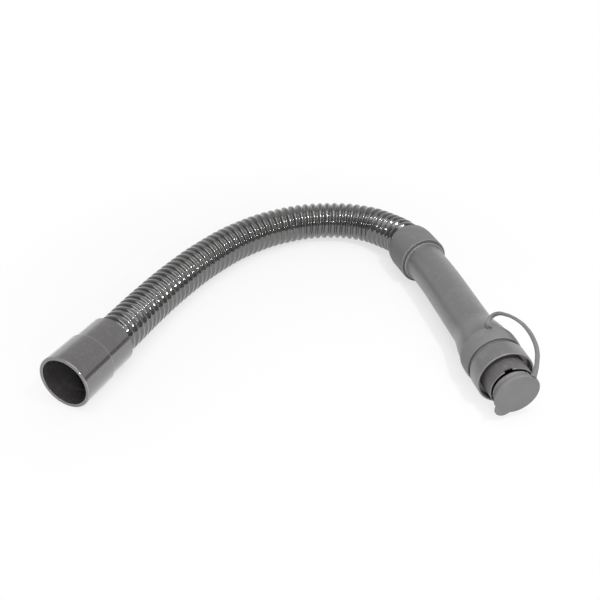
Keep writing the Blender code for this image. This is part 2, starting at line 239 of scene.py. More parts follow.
def eased(start, end, steps):
    # (radius, station) from one to the other, leaving and arriving level
    points = []
    for step in range(steps + 1):
        share = step / steps
        blend = share * share * (3 - 2 * share)
        radius = start[0] + (end[0] - start[0]) * blend
        station = start[1] + (end[1] - start[1]) * share
        points.append((radius, station, 0))
    return points


# in degrees: an edge starts to get the painted edge highlight where it turns by the least, and gets
# it fully a span later
edgeTurn = {"least": 12, "span": 6}


def edgeShares(outline):
    # 1 where the outline turns sharply outward, 0 where it runs straight or turns inward
    points = [Vector(point) for point in outline]
    nexts = points[1:] + points[:1]
    area = sum(here.x * after.y - after.x * here.y for here, after in zip(points, nexts))
    shares = []
    for before, here, after in zip(points[-1:] + points[:-1], points, nexts):
        first, second = here - before, after - here
        bend = math.atan2(first.x * second.y - first.y * second.x, first.dot(second))
        turned = math.degrees(math.copysign(1, area) * bend)
        shares.append(min(1.0, max(0.0, (turned - edgeTurn["least"]) / edgeTurn["span"])))
    return shares


def turnedMesh(name, outline, sides, closed=True):
    # spins (radius, station) points about local Z into one closed skin
    work = bmesh.new()
    # each point keeps how sharply its outline turns outward, which sets the painted edge highlight
    edgeHighlightLayer = work.verts.layers.float.new("edgeShare")
    rings = []
    for (radius, station), share in zip(outline, edgeShares(outline)):
        ring = []
        for side in range(sides if radius > tiny else 1):
            turn = 2 * math.pi * side / sides
            place = (radius * math.cos(turn), radius * math.sin(turn), station)
            ring.append(work.verts.new(place))
            ring[-1][edgeHighlightLayer] = share
        rings.append(ring)
    pairs = list(zip(rings, rings[1:]))
    if closed:
        pairs.append((rings[-1], rings[0]))
    for low, high in pairs:
        for side in range(sides):
            after = (side + 1) % sides
            loop = ((low, side), (low, after), (high, after), (high, side))
            unique = list(dict.fromkeys(ring[place % len(ring)] for ring, place in loop))
            if len(unique) > 2:
                work.faces.new(unique)
    bmesh.ops.remove_doubles(work, verts=work.verts, dist=weldReach)
    bmesh.ops.recalc_face_normals(work, faces=work.faces)
    mesh = bpy.data.meshes.new(name)
    work.to_mesh(mesh)
    work.free()
    mesh.shade_smooth()
    mesh.set_sharp_from_angle(angle=sharpEdge)
    return mesh


def guideCurve(name, stops):
    # a curve through (place, heading) stops; a stop without a heading is passed smoothly
    curve = bpy.data.curves.new(name, "CURVE")
    curve.dimensions = "3D"
    curve.twist_mode = "Z_UP"
    curve.resolution_u = 24
    spline = curve.splines.new("BEZIER")
    spline.bezier_points.add(len(stops) - 1)
    for index, (place, heading) in enumerate(stops):
        point = spline.bezier_points[index]
        point.co = place
        if heading is None:
            point.handle_left_type = point.handle_right_type = "AUTO"
            continue
        before = (place - stops[max(index - 1, 0)][0]).length / 3
        after = (stops[min(index + 1, len(stops) - 1)][0] - place).length / 3
        point.handle_left_type = point.handle_right_type = "FREE"
        point.handle_left = place - heading * before
        point.handle_right = place + heading * after
    guide = bpy.data.objects.new(name, curve)
    bpy.context.scene.collection.objects.link(guide)
    guide.hide_render = True
    return guide


def guideLine(guide, spacing):
    # points a fixed way apart along a guide, for what has to follow it
    graph = bpy.context.evaluated_depsgraph_get()
    mesh = bpy.data.meshes.new_from_object(guide.evaluated_get(graph))
    dense = [vertex.co.copy() for vertex in mesh.vertices]
    bpy.data.meshes.remove(mesh)
    length = sum((b - a).length for a, b in zip(dense, dense[1:]))
    count = max(2, round(length / spacing))
    points, walked, index = [dense[0]], 0.0, 0
    for step in range(1, count):
        goal = length * step / count
        while walked + (dense[index + 1] - dense[index]).length < goal:
            walked += (dense[index + 1] - dense[index]).length
            index += 1
        piece = dense[index + 1] - dense[index]
        points.append(dense[index] + piece * ((goal - walked) / piece.length))
    return points + [dense[-1]], length


def bentMesh(mesh, guide):
    # bends a straight mesh along a guide, as the source does
    holder = newMeshObject(mesh.name, mesh)
    bend = holder.modifiers.new("bend", "CURVE")
    bend.object = guide
    bend.deform_axis = "POS_Z"
    return bakedMesh(holder, mesh.name)


# helpers for node trees
def addNode(tree, kind, inputs=None, **settings):
    made = tree.nodes.new(kind)
    for name, value in settings.items():
        setattr(made, name, value)
    for socket, value in (inputs or {}).items():
        target = made.inputs[socket]
        if isinstance(value, bpy.types.NodeSocket):
            tree.links.new(value, target)
        else:
            target.default_value = value
    return made


def mathNode(tree, operation, first, second=0.0, third=0.0):
    inputs = {0: first, 1: second, 2: third}
    return addNode(tree, "ShaderNodeMath", inputs, operation=operation).outputs[0]


def vectorNode(tree, operation, first, second=None, scale=None):
    inputs = {0: first}
    if second is not None:
        inputs[1] = second
    if scale is not None:
        inputs["Scale"] = scale
    made = addNode(tree, "ShaderNodeVectorMath", inputs, operation=operation)
    return made.outputs["Vector"]


def newTree(name, sockets):
    tree = bpy.data.node_groups.new(name, "GeometryNodeTree")
    tree.interface.new_socket("Geometry", in_out="INPUT", socket_type="NodeSocketGeometry")
    for label, kind in sockets:
        tree.interface.new_socket(label, in_out="INPUT", socket_type="NodeSocket" + kind)
    tree.interface.new_socket("Geometry", in_out="OUTPUT", socket_type="NodeSocketGeometry")
    source = tree.nodes.new("NodeGroupInput")
    result = tree.nodes.new("NodeGroupOutput")
    return tree, source.outputs, result.inputs["Geometry"]


def finishTree(tree, shape, material, result):
    smooth = addNode(tree, "GeometryNodeSetShadeSmooth", {"Geometry": shape})
    real = addNode(tree, "GeometryNodeRealizeInstances", {"Geometry": smooth.outputs["Geometry"]})
    dressed = addNode(
        tree,
        "GeometryNodeSetMaterial",
        {"Geometry": real.outputs["Geometry"], "Material": material},
    )
    tree.links.new(dressed.outputs["Geometry"], result)


def runTree(name, tree, values):
    # runs a tree on an empty mesh and keeps the plain mesh that it makes
    holder = newMeshObject(name, bpy.data.meshes.new(name))
    modifier = holder.modifiers.new("make", "NODES")
    modifier.node_group = tree
    for item in tree.interface.items_tree:
        if item.in_out == "INPUT" and item.name in values:
            modifier[item.identifier] = values[item.name]
    mesh = bakedMesh(holder, name)
    print("  " + name + ":", len(mesh.polygons), "faces")
    return mesh


# materials
def newMaterial(name, finish):
    material = bpy.data.materials.new(name)
    material.use_nodes = True
    tree = material.node_tree
    shader = tree.nodes["Principled BSDF"]
    shader.inputs["Metallic"].default_value = 0.0
    shader.inputs["IOR"].default_value = 1.5
    shader.inputs["Specular IOR Level"].default_value = finish.get("specular", 0.5)
    shader.inputs["Coat Weight"].default_value = finish.get("coat", 0.0)
    shader.inputs["Coat Roughness"].default_value = finish.get("coatRoughness", 0.1)
    shader.inputs["Coat IOR"].default_value = finish.get("coatIor", 1.5)
    return material, tree, shader


def mixColour(tree, factor, first, second):
    inputs = {0: factor, 6: first, 7: second}
    return addNode(tree, "ShaderNodeMix", inputs, data_type="RGBA").outputs[2]


def remap(tree, value, low, high, toLow, toHigh):
    return addNode(
        tree, "ShaderNodeMapRange", {0: value, 1: low, 2: high, 3: toLow, 4: toHigh}
    ).outputs[0]


def noiseNode(tree, place, scale, detail=3.0, roughness=0.55):
    return addNode(
        tree,
        "ShaderNodeTexNoise",
        {"Vector": place, "Scale": scale, "Detail": detail, "Roughness": roughness},
    ).outputs[0]


def cloudyTone(tree, cloud, finish):
    share = remap(tree, cloud, 0.35, 0.65, 0, 1)
    return mixColour(tree, share, (*finish["dark"], 1), (*finish["light"], 1))


def addBump(tree, shader, finish, skin):
    bump = addNode(
        tree,
        "ShaderNodeBump",
        {"Strength": finish["bump"], "Distance": finish["bumpDepth"], "Height": skin},
    )
    tree.links.new(bump.outputs["Normal"], shader.inputs["Normal"])


def mouldedMaterial(name, finish):
    # moulded plastic or rubber: cloudy tone, fine skin, dull patches, a painted highlight on sharp
    # outward edges, a little dust
    material, tree, shader = newMaterial(name, finish)
    place = addNode(tree, "ShaderNodeTexCoord").outputs["Object"]
    cloud = noiseNode(tree, place, finish["cloudScale"], 4.0)
    grain = noiseNode(tree, place, finish["grainScale"], 2.0)
    smear = noiseNode(tree, place, finish["smearScale"], 5.0, 0.65)
    colour = cloudyTone(tree, cloud, finish)
    flecks = remap(tree, grain, 0.3, 0.7, 0, finish["grainTone"])
    colour = mixColour(tree, flecks, colour, (*finish["fleck"], 1))
    # painted highlight: sharp outward edges get a lighter tone, broken up in patches
    edge = addNode(tree, "ShaderNodeAttribute", attribute_name="edgeShare").outputs["Fac"]
    edgeHighlightPatches = remap(tree, smear, 0.3, 0.6, 0.4 * finish["edgeHighlightStrength"], finish["edgeHighlightStrength"])
    paintedEdgeHighlight = mathNode(tree, "MULTIPLY", edge, edgeHighlightPatches)
    colour = mixColour(tree, paintedEdgeHighlight, colour, (*finish["edgeHighlightTone"], 1))
    # dust lies on what faces up
    normal = addNode(tree, "ShaderNodeNewGeometry").outputs["Normal"]
    up = addNode(tree, "ShaderNodeSeparateXYZ", {0: normal}).outputs["Z"]
    dustNoise = noiseNode(tree, place, finish["dustScale"], 6.0, 0.7)
    dustSpots = remap(tree, dustNoise, 0.5, 0.72, 0, 1)
    dustLie = remap(tree, up, 0.1, 0.95, 0, finish["dust"])
    dust = mathNode(tree, "MULTIPLY", dustSpots, dustLie)
    colour = mixColour(tree, dust, colour, (*finish["dustTone"], 1))
    tree.links.new(colour, shader.inputs["Base Color"])
    rough = remap(tree, smear, 0.35, 0.68, finish["roughLow"], finish["roughHigh"])
    rough = mathNode(tree, "MULTIPLY_ADD", dust, 0.25, rough)
    tree.links.new(rough, shader.inputs["Roughness"])
    scratchPlace = addNode(
        tree,
        "ShaderNodeMapping",
        {"Vector": place, "Rotation": (0.2, 0.4, 1.1), "Scale": (30, 900, 300)},
    ).outputs["Vector"]
    scratchNoise = noiseNode(tree, scratchPlace, 1.0, 2.0)
    scratch = remap(tree, scratchNoise, 0.66, 0.74, 0, finish["scratch"])
    skin = mathNode(tree, "MULTIPLY_ADD", smear, 0.6, grain)
    addBump(tree, shader, finish, mathNode(tree, "SUBTRACT", skin, scratch))
    return material


def hoseMaterial(name, finish):
    # dark wound plastic: duller and dustier in the valleys, rubbed on the crests
    material, tree, shader = newMaterial(name, finish)
    along = addNode(
        tree, "ShaderNodeAttribute", attribute_name="straightPlace"
    ).outputs["Vector"]
    height = addNode(tree, "ShaderNodeAttribute", attribute_name="ribHeight").outputs["Fac"]
    colour = cloudyTone(tree, noiseNode(tree, along, finish["cloudScale"], 4.0), finish)
    dustNoise = noiseNode(tree, along, finish["dustScale"], 5.0, 0.7)
    dustSpots = remap(tree, dustNoise, 0.4, 0.75, 0, finish["dust"])
    dust = mathNode(tree, "MULTIPLY", remap(tree, height, 0.0, 0.5, 1, 0), dustSpots)
    colour = mixColour(tree, dust, colour, (*finish["dustTone"], 1))
    rubNoise = noiseNode(tree, along, finish["rubScale"], 5.0, 0.7)
    rubSpots = remap(tree, rubNoise, 0.5, 0.7, 0, finish["rub"])
    rub = mathNode(tree, "MULTIPLY", remap(tree, height, 0.85, 1.0, 0, 1), rubSpots)
    colour = mixColour(tree, rub, colour, (*finish["rubTone"], 1))
    tree.links.new(colour, shader.inputs["Base Color"])
    smear = noiseNode(tree, along, finish["smearScale"], 4.0, 0.6)
    rough = remap(tree, smear, 0.35, 0.7, finish["roughLow"], finish["roughHigh"])
    rough = mathNode(tree, "MULTIPLY_ADD", mathNode(tree, "ADD", dust, rub), 0.3, rough)
    tree.links.new(rough, shader.inputs["Roughness"])
    # fine draw lines that the winding leaves along the rib
    split = addNode(tree, "ShaderNodeSeparateXYZ", {0: along})
    turn = mathNode(tree, "ARCTAN2", split.outputs["Y"], split.outputs["X"])
    advance = hoseSizes["pitch"] / (2 * math.pi)
    winding = mathNode(tree, "MULTIPLY_ADD", turn, advance, split.outputs["Z"])
    across = mathNode(tree, "MULTIPLY", winding, finish["lineScale"])
    lengthwise = mathNode(tree, "MULTIPLY", split.outputs["Z"], finish["lineBreaks"])
    linePlace = addNode(tree, "ShaderNodeCombineXYZ", {0: across, 1: lengthwise}).outputs[0]
    lines = mathNode(tree, "MULTIPLY", noiseNode(tree, linePlace, 1.0, 2.0, 0.5), 0.7)
    grain = noiseNode(tree, along, finish["grainScale"], 2.0)
    addBump(tree, shader, finish, mathNode(tree, "MULTIPLY_ADD", grain, 0.5, lines))
    return material


hoseFinish = {
    "dark": (0.032, 0.032, 0.031),
    "light": (0.05, 0.0495, 0.048),
    "specular": 1.0,
    "coat": 1.0,
    "coatIor": 1.74,
    "coatRoughness": 0.05,
    "roughLow": 0.1,
    "roughHigh": 0.17,
    "cloudScale": 18.0,
    "grainScale": 1400.0,
    "smearScale": 75.0,
    "lineScale": 2600.0,
    "lineBreaks": 25.0,
    "dustScale": 60.0,
    "dust": 0.55,
    "dustTone": (0.2, 0.195, 0.19),
    "rubScale": 130.0,
    "rub": 0.35,
    "rubTone": (0.16, 0.158, 0.155),
    "bump": 0.12,
    "bumpDepth": 0.0001,
}

inletFinish = {
    "dark": (0.073, 0.0685, 0.0675),
    "light": (0.086, 0.081, 0.08),
    "fleck": (0.12, 0.112, 0.11),
    "cloudScale": 22.0,
    "grainScale": 900.0,
    "grainTone": 0.12,
    "smearScale": 30.0,
    "dustScale": 160.0,
    "dust": 0.12,
    "dustTone": (0.42, 0.41, 0.4),
    # the painted highlight on sharp outward edges: its strength and its tone
    "edgeHighlightStrength": 0.8,
    "edgeHighlightTone": (0.36, 0.345, 0.345),
    "specular": 1.0,
    "coat": 1.0,
    "coatIor": 1.8,
    "coatRoughness": 0.03,
    "roughLow": 0.06,
    "roughHigh": 0.11,
    "scratch": 0.2,
    "bump": 0.05,
    "bumpDepth": 0.0001,
}

rubberFinish = {
    "dark": (0.18, 0.176, 0.177),
    "light": (0.208, 0.204, 0.204),
    "fleck": (0.21, 0.205, 0.205),
    "cloudScale": 26.0,
    "grainScale": 1300.0,
    "grainTone": 0.25,
    "smearScale": 45.0,
    "dustScale": 190.0,
    "dust": 0.22,
    "dustTone": (0.42, 0.41, 0.4),
    # the painted highlight on sharp outward edges: its strength and its tone
    "edgeHighlightStrength": 0.8,
    "edgeHighlightTone": (0.36, 0.355, 0.355),
    "roughLow": 0.5,
    "roughHigh": 0.66,
    "scratch": 0.15,
    "bump": 0.35,
    "bumpDepth": 0.00012,
}

pipeFinish = dict(
    rubberFinish,
    dark=(0.126, 0.123, 0.124),
    light=(0.146, 0.142, 0.144),
    specular=1.0,
    coat=0.5,
    coatIor=1.6,
    coatRoughness=0.32,
    roughLow=0.36,
    roughHigh=0.46,
)

neckFinish = dict(
    rubberFinish,
    dark=(0.118, 0.114, 0.112),
    light=(0.135, 0.131, 0.128),
    roughLow=0.4,
    roughHigh=0.5,
)

capFinish = dict(
    rubberFinish,
    dark=(0.212, 0.21, 0.214),
    light=(0.242, 0.24, 0.244),
    # a weaker painted highlight on the cap's outward edges
    edgeHighlightStrength=0.35,
)

hoseDark = hoseMaterial("hoseDarkPlastic", hoseFinish)
inletGrey = mouldedMaterial("inletGlossGrey", inletFinish)
cuffGrey = mouldedMaterial("outletCuffRubber", rubberFinish)
pipeGrey = mouldedMaterial("drainPipeRubber", pipeFinish)
neckGrey = mouldedMaterial("drainNeckPlastic", neckFinish)
capGrey = mouldedMaterial("capRubber", capFinish)
print("materials made")


# where everything lies
outletLength = outletSizes["grip"] + outletSizes["web"] + outletSizes["plugDepth"]
outletFoot = outletLength - outletSizes["shoulderLength"]
ringOuter = capSizes["ringBore"] + capSizes["ringWall"] + capSizes["ringCrown"]
ringFoot = capSizes["ringStation"] + capSizes["ringWidth"] / 2
drainLean = (ringOuter - outletSizes["radius"]) / (ringFoot + outletFoot)
inletLean = -math.asin(inletSizes["draft"] / inletSizes["mouthDepth"])
inletAxis = direction(inletSizes["heading"], inletLean)
outletAxis = direction(outletSizes["heading"], math.asin(drainLean))
drainAxis = direction(pipeSizes["heading"], math.asin(drainLean))


def onPlan(place, height):
    return Vector((place[0] * mm, place[1] * mm, height)) + planShift


inletMouth = onPlan(inletSizes["mouthPlace"], inletSizes["mouthRadius"])
outletRim = onPlan(outletSizes["rimPlace"], outletSizes["radius"] + outletFoot * drainLean)
inletLength = inletSizes["mouthDepth"] + inletSizes["web"] + inletSizes["grip"]
pipeEnd = pipeSizes["flangeStart"] + pipeSizes["flangeWidth"]
capNod, capTurn = math.radians(capSizes["nod"]), math.radians(capSizes["turn"])
capLean = math.hypot(math.sin(capNod), math.sin(capTurn))
capFoot = pipeEnd + neckSizes["reach"] + capSizes["rimGap"]
capStation = capFoot + capSizes["radius"] * capLean

hoseStart = inletMouth + inletAxis * (inletSizes["mouthDepth"] + inletSizes["web"] + fitGap)
hoseEnd = outletRim - outletAxis * (outletSizes["plugDepth"] + outletSizes["web"] + fitGap)
leaveCuff = 4 * mm
freeStops = [
    (onPlan((x, y), hoseSizes["crestRadius"] + lift * mm), None) for x, y, lift in hoseRoute
]
hoseGuide = guideCurve(
    "hoseGuide",
    [
        (hoseStart, inletAxis),
        (inletMouth + inletAxis * (inletLength + leaveCuff), inletAxis),
        *freeStops,
        (outletRim - outletAxis * (outletLength + leaveCuff), outletAxis),
        (hoseEnd, outletAxis),
    ],
)
bend = pipeSizes["bendStation"]
drainCorner = outletRim + outletAxis * bend
drainGuide = guideCurve(
    "drainGuide",
    [
        (outletRim - outletAxis * outletSizes["plugDepth"], outletAxis),
        (outletRim, outletAxis),
        (drainCorner + drainAxis * bend, drainAxis),
        (drainCorner + drainAxis * (pipeEnd - bend), drainAxis),
    ],
)


# the camera, at the photograph's place and angle
cameraSizes = {"height": 566.7506, "down": 34.395, "lens": 52.2, "sensor": 36}

cameraData = bpy.data.cameras.new("camera")
cameraData.lens = cameraSizes["lens"]
cameraData.sensor_width = cameraSizes["sensor"]
cameraData.clip_start = 0.01
camera = bpy.data.objects.new("camera", cameraData)
camera.location = Vector((0, 0, cameraSizes["height"] * mm)) + planShift
camera.rotation_euler = (math.radians(90 - cameraSizes["down"]), 0, 0)
bpy.context.scene.collection.objects.link(camera)
bpy.context.scene.camera = camera


# the wound hose
def woundHoseTree():
    tree, given, result = newTree(
        "woundHose",
        [
            ("Guide", "Object"),
            ("Bore Radius", "Float"),
            ("Valley Radius", "Float"),
            ("Crest Radius", "Float"),
            ("Pitch", "Float"),
            ("Rib Fullness", "Float"),
            ("Sides", "Int"),
            ("Steps Per Turn", "Int"),
            ("Bore Rings", "Int"),
            ("Weld Reach", "Float"),
            ("Material", "Material"),
        ],
    )
    guide = addNode(tree, "GeometryNodeObjectInfo", {"Object": given["Guide"]}).outputs["Geometry"]
    length = addNode(tree, "GeometryNodeCurveLength", {"Curve": guide}).outputs["Length"]

    def skin(rows, stationOf, radiusOf, flip=False):
        # a sheet of rows by sides, wrapped round the guide
        columns = mathNode(tree, "ADD", given["Sides"], 1.0)
        grid = addNode(
            tree,
            "GeometryNodeMeshGrid",
            {"Size X": 1.0, "Size Y": 1.0, "Vertices X": columns, "Vertices Y": rows},
        ).outputs["Mesh"]
        spot = addNode(tree, "GeometryNodeInputPosition").outputs[0]
        split = addNode(tree, "ShaderNodeSeparateXYZ", {0: spot})
        share = mathNode(tree, "ADD", split.outputs["X"], 0.5)
        walk = mathNode(tree, "ADD", split.outputs["Y"], 0.5)
        station = stationOf(walk, share)
        wound = mathNode(tree, "DIVIDE", station, given["Pitch"])
        phase = mathNode(tree, "FRACT", mathNode(tree, "ADD", wound, share))
        # a wave whose crests are fuller than its valleys
        wave = mathNode(tree, "COSINE", mathNode(tree, "MULTIPLY", phase, 2 * math.pi))
        sunk = mathNode(tree, "MULTIPLY_ADD", wave, 0.5, 0.5)
        sunk = mathNode(tree, "POWER", sunk, given["Rib Fullness"])
        height = mathNode(tree, "SUBTRACT", 1.0, sunk)
        radius = radiusOf(height, walk)
        inputs = {"Curves": guide, "Length": station}
        sample = addNode(tree, "GeometryNodeSampleCurve", inputs, mode="LENGTH")
        tangent = sample.outputs["Tangent"]
        left = vectorNode(tree, "NORMALIZE", vectorNode(tree, "CROSS_PRODUCT", (0, 0, 1), tangent))
        above = vectorNode(tree, "CROSS_PRODUCT", tangent, left)
        turn = mathNode(tree, "MULTIPLY", share, 2 * math.pi)
        side = mathNode(tree, "MULTIPLY", radius, mathNode(tree, "COSINE", turn))
        rise = mathNode(tree, "MULTIPLY", radius, mathNode(tree, "SINE", turn))
        sideways = vectorNode(tree, "SCALE", left, scale=side)
        upwards = vectorNode(tree, "SCALE", above, scale=rise)
        place = vectorNode(tree, "ADD", sideways, upwards)
        place = vectorNode(tree, "ADD", sample.outputs["Position"], place)
        straight = addNode(tree, "ShaderNodeCombineXYZ", {0: side, 1: rise, 2: station}).outputs[0]
        shape = grid
        kept = (("ribHeight", "FLOAT", height), ("straightPlace", "FLOAT_VECTOR", straight))
        for label, kind, value in kept:
            shape = addNode(
                tree,
                "GeometryNodeStoreNamedAttribute",
                {"Geometry": shape, "Name": label, "Value": value},
                data_type=kind,
                domain="POINT",
            ).outputs["Geometry"]
        shape = addNode(
            tree, "GeometryNodeSetPosition", {"Geometry": shape, "Position": place}
        ).outputs["Geometry"]
        if flip:
            shape = addNode(tree, "GeometryNodeFlipFaces", {"Mesh": shape}).outputs["Mesh"]
        return shape

    turns = mathNode(tree, "ADD", mathNode(tree, "DIVIDE", length, given["Pitch"]), 1.0)
    steps = mathNode(tree, "CEIL", mathNode(tree, "MULTIPLY", turns, given["Steps Per Turn"]))
    outerRows = mathNode(tree, "ADD", steps, 1.0)

    def outerStation(walk, share):
        # rows run along the rib, so they are cut off square at both ends
        wound = mathNode(tree, "SUBTRACT", mathNode(tree, "MULTIPLY", walk, turns), share)
        raw = mathNode(tree, "MULTIPLY", wound, given["Pitch"])
        return mathNode(tree, "MINIMUM", mathNode(tree, "MAXIMUM", raw, 0.0), length)

    def outerRadius(height, walk):
        rib = mathNode(tree, "SUBTRACT", given["Crest Radius"], given["Valley Radius"])
        raised = mathNode(tree, "MULTIPLY", rib, height)
        return mathNode(tree, "ADD", given["Valley Radius"], raised)

    def boreStation(walk, share):
        return mathNode(tree, "MULTIPLY", walk, length)

    def boreRadius(height, walk):
        return given["Bore Radius"]

    outer = skin(outerRows, outerStation, outerRadius)
    bore = skin(given["Bore Rings"], boreStation, boreRadius, flip=True)
    ends = []
    for end, flip in ((0.0, True), (1.0, False)):

        def endStation(walk, share, end=end):
            return mathNode(tree, "MULTIPLY", length, end)

        def endRadius(height, walk):
            # from the bore out to the rib's own outline
            rim = outerRadius(height, walk)
            wall = mathNode(tree, "SUBTRACT", rim, given["Bore Radius"])
            outward = mathNode(tree, "MULTIPLY", wall, walk)
            return mathNode(tree, "ADD", given["Bore Radius"], outward)

        ends.append(skin(3, endStation, endRadius, flip=flip))
    joined = addNode(tree, "GeometryNodeJoinGeometry")
    for part in (*ends, bore, outer):
        tree.links.new(part, joined.inputs[0])
    inputs = {"Geometry": joined.outputs[0], "Distance": given["Weld Reach"]}
    merged = addNode(tree, "GeometryNodeMergeByDistance", inputs).outputs["Geometry"]
    finishTree(tree, merged, given["Material"], result)
    return tree


hoseTree = woundHoseTree()
hoseMesh = runTree(
    "corrugatedHose",
    hoseTree,
    {
        "Guide": hoseGuide,
        "Bore Radius": hoseSizes["boreRadius"],
        "Valley Radius": hoseSizes["valleyRadius"],
        "Crest Radius": hoseSizes["crestRadius"],
        "Pitch": hoseSizes["pitch"],
        "Rib Fullness": hoseSizes["ribFullness"],
        "Sides": hoseSizes["sides"],
        "Steps Per Turn": hoseSizes["stepsPerTurn"],
        "Bore Rings": hoseSizes["boreRings"],
        "Weld Reach": hoseSizes["weldReach"],
        "Material": hoseDark,
    },
)
hose = newMeshObject("hoseWound", hoseMesh)
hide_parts("ribbed_hose")
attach(hose, "root")
hoseLine, hoseLength = guideLine(hoseGuide, 4 * mm)
print("hose made, length", round(hoseLength, 4))


# the cuffs
def makeInletCuff():
    s = inletSizes
    mouth, tail, bore = s["mouthRadius"], s["tailRadius"], s["mouthBore"]
    socket = hoseSizes["crestRadius"] + fitGap
    step = s["mouthDepth"]
    waist = mouth - s["draft"]
    corners = [
        (bore, 0, 1.0 * mm),
        (mouth, 0, 1.3 * mm),
        (mouth - 0.2 * mm, 4 * mm, 0),
        (waist, s["stepStart"], 0.6 * mm),
        (tail, s["stepStart"] + s["stepLength"], 0.8 * mm),
        (tail, s["stepStart"] + s["stepLength"] + 4 * mm, 0),
        (tail, inletLength - 2.4 * mm, 0.6 * mm),
        (tail - 2.2 * mm, inletLength, 0.8 * mm),
        (socket, inletLength, 0.5 * mm),
        (socket, step + s["web"], 0),
        (hoseSizes["boreRadius"], step + s["web"], 0),
        (hoseSizes["boreRadius"], step, 0.5 * mm),
        (bore - 0.2 * mm, step, 0.5 * mm),
    ]
    mesh = turnedMesh("inletCuff", roundedOutline(corners), s["sides"])
    mesh.transform(frameAlong(inletMouth, inletAxis))
    return newMeshObject("inletCuffShell", mesh, inletGrey)


def makeOutletCuff():
    s = outletSizes
    lip = hoseSizes["crestRadius"] + fitGap + s["shoulderLip"]
    socket = hoseSizes["crestRadius"] + fitGap
    back = -outletLength
    corners = [(socket, back, 0.6 * mm)]
    steps = 14
    for step in range(steps + 1):
        turn = -math.pi / 2 + math.pi / 2 * step / steps
        corners.append(
            (
                lip + (s["radius"] - lip) * math.cos(turn),
                back + s["shoulderLength"] + s["shoulderLength"] * math.sin(turn),
                0,
            )
        )
    corners += [
        (s["radius"], -1.6 * mm, 0),
        (s["radius"], 0, 1.0 * mm),
        (s["socket"], 0, 0.5 * mm),
        (s["socket"], -s["plugDepth"], 0),
        (hoseSizes["boreRadius"], -s["plugDepth"], 0),
        (hoseSizes["boreRadius"], -s["plugDepth"] - s["web"], 0),
        (socket, -s["plugDepth"] - s["web"], 0),
    ]
    mesh = turnedMesh("outletCuff", roundedOutline(corners), s["sides"])
    mesh.transform(frameAlong(outletRim, outletAxis))
    return newMeshObject("outletCuffShell", mesh, cuffGrey)


inletCuff = makeInletCuff()
outletCuff = makeOutletCuff()
for piece, node in ((inletCuff, "inlet_cuff"), (outletCuff, "outlet_cuff")):
    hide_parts(node)
    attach(piece, "root")
print("cuffs made")


# the drain end, turned straight and bent along its guide
def drainPiece(name, corners, sides, steps=4):
    mesh = turnedMesh(name, roundedOutline(corners, steps), sides)
    mesh.transform(Matrix.Translation((0, 0, outletSizes["plugDepth"])))
    return mesh


def makeDrainPipe():
    s = pipeSizes
    start = fitGap - outletSizes["plugDepth"]
    recessFloor = pipeEnd - s["recess"]
    seat = recessFloor - neckSizes["seatDepth"]
    corners = [
        (s["plugRadius"], start, 0),
        (s["plugRadius"], -2 * mm, 0),
        (s["plugRadius"], s["beadLength"], 1.3 * mm),
        (s["radius"] + 0.4 * mm, s["beadLength"] + 0.2 * mm, 0.9 * mm),
    ]
    rings = 24
    bodyStart = s["beadLength"] + 1.5 * mm
    for ring in range(1, rings):
        share = ring / rings
        radius = s["radius"] + (s["endRadius"] - s["radius"]) * share
        corners.append((radius, bodyStart + (s["flareStart"] - bodyStart) * share, 0))
    bellStart = (s["bellRadius"], s["flareStart"] + s["flareLength"])
    corners += eased((s["endRadius"], s["flareStart"]), bellStart, 16)
    corners += [
        (s["bellRadius"], s["flangeStart"], 0.4 * mm),
        (s["flangeRadius"], s["flangeStart"], 1.4 * mm),
        (s["flangeRadius"], pipeEnd, 1.3 * mm),
        (s["lipRadius"], pipeEnd, 0.6 * mm),
        (s["lipRadius"] - 0.3 * mm, recessFloor, 0.5 * mm),
        (neckSizes["radius"] + fitGap, recessFloor, 0.2 * mm),
        (neckSizes["radius"] + fitGap, seat, 0),
        *eased((neckSizes["bore"], seat), (s["bore"], s["flareStart"]), 8),
    ]
    for ring in range(rings - 1, 0, -1):
        corners.append((s["bore"], s["flareStart"] * ring / rings, 0))
    # the bore widens towards the open end of the plug
    widenFrom = outletSizes["plugDepth"] / 2 - 12 * mm
    corners += eased((s["bore"], widenFrom), (s["plugBore"], start), 6)
    mesh = drainPiece("drainPipe", corners, s["sides"])
    return newMeshObject("drainPipeSkin", bentMesh(mesh, drainGuide), pipeGrey)


def makeDrainNeck():
    s = neckSizes
    start = pipeEnd - pipeSizes["recess"] - s["seatDepth"] + fitGap
    end = pipeEnd + s["reach"]
    corners = [(s["bore"], start, 0), (s["radius"], start, 0)]
    rings = 8
    for ring in range(1, rings):
        corners.append((s["radius"], start + (end - start) * ring / rings, 0))
    corners += [(s["radius"], end, 0.7 * mm), (s["bore"], end, 0.7 * mm)]
    for ring in range(rings - 1, 0, -1):
        corners.append((s["bore"], start + (end - start) * ring / rings, 0))
    neck = newMeshObject("drainNeck", drainPiece("drainNeck", corners, s["sides"]))
    work = bmesh.new()
    bmesh.ops.create_cube(work, size=1)
    bmesh.ops.scale(work, vec=(s["notchWidth"], 10 * mm, 2 * s["notchDepth"]), verts=work.verts)
    bmesh.ops.bevel(
        work, geom=work.edges[:], offset=s["notchRound"], segments=3, affect="EDGES", profile=0.5
    )
    place = (0, s["radius"], end + outletSizes["plugDepth"])
    bmesh.ops.translate(work, vec=place, verts=work.verts)
    turn = Matrix.Rotation(math.radians(s["notchTurn"]), 3, "Z")
    bmesh.ops.rotate(work, matrix=turn, verts=work.verts)
    cutterMesh = bpy.data.meshes.new("notchCutter")
    work.to_mesh(cutterMesh)
    work.free()
    cutter = newMeshObject("notchCutter", cutterMesh)
    cut = neck.modifiers.new("notch", "BOOLEAN")
    cut.operation = "DIFFERENCE"
    cut.object = cutter
    mesh = bakedMesh(neck, "drainNeck")
    bpy.data.objects.remove(cutter)
    mesh.set_sharp_from_angle(angle=sharpEdge)
    return newMeshObject("drainNeckSpout", bentMesh(mesh, drainGuide), neckGrey)


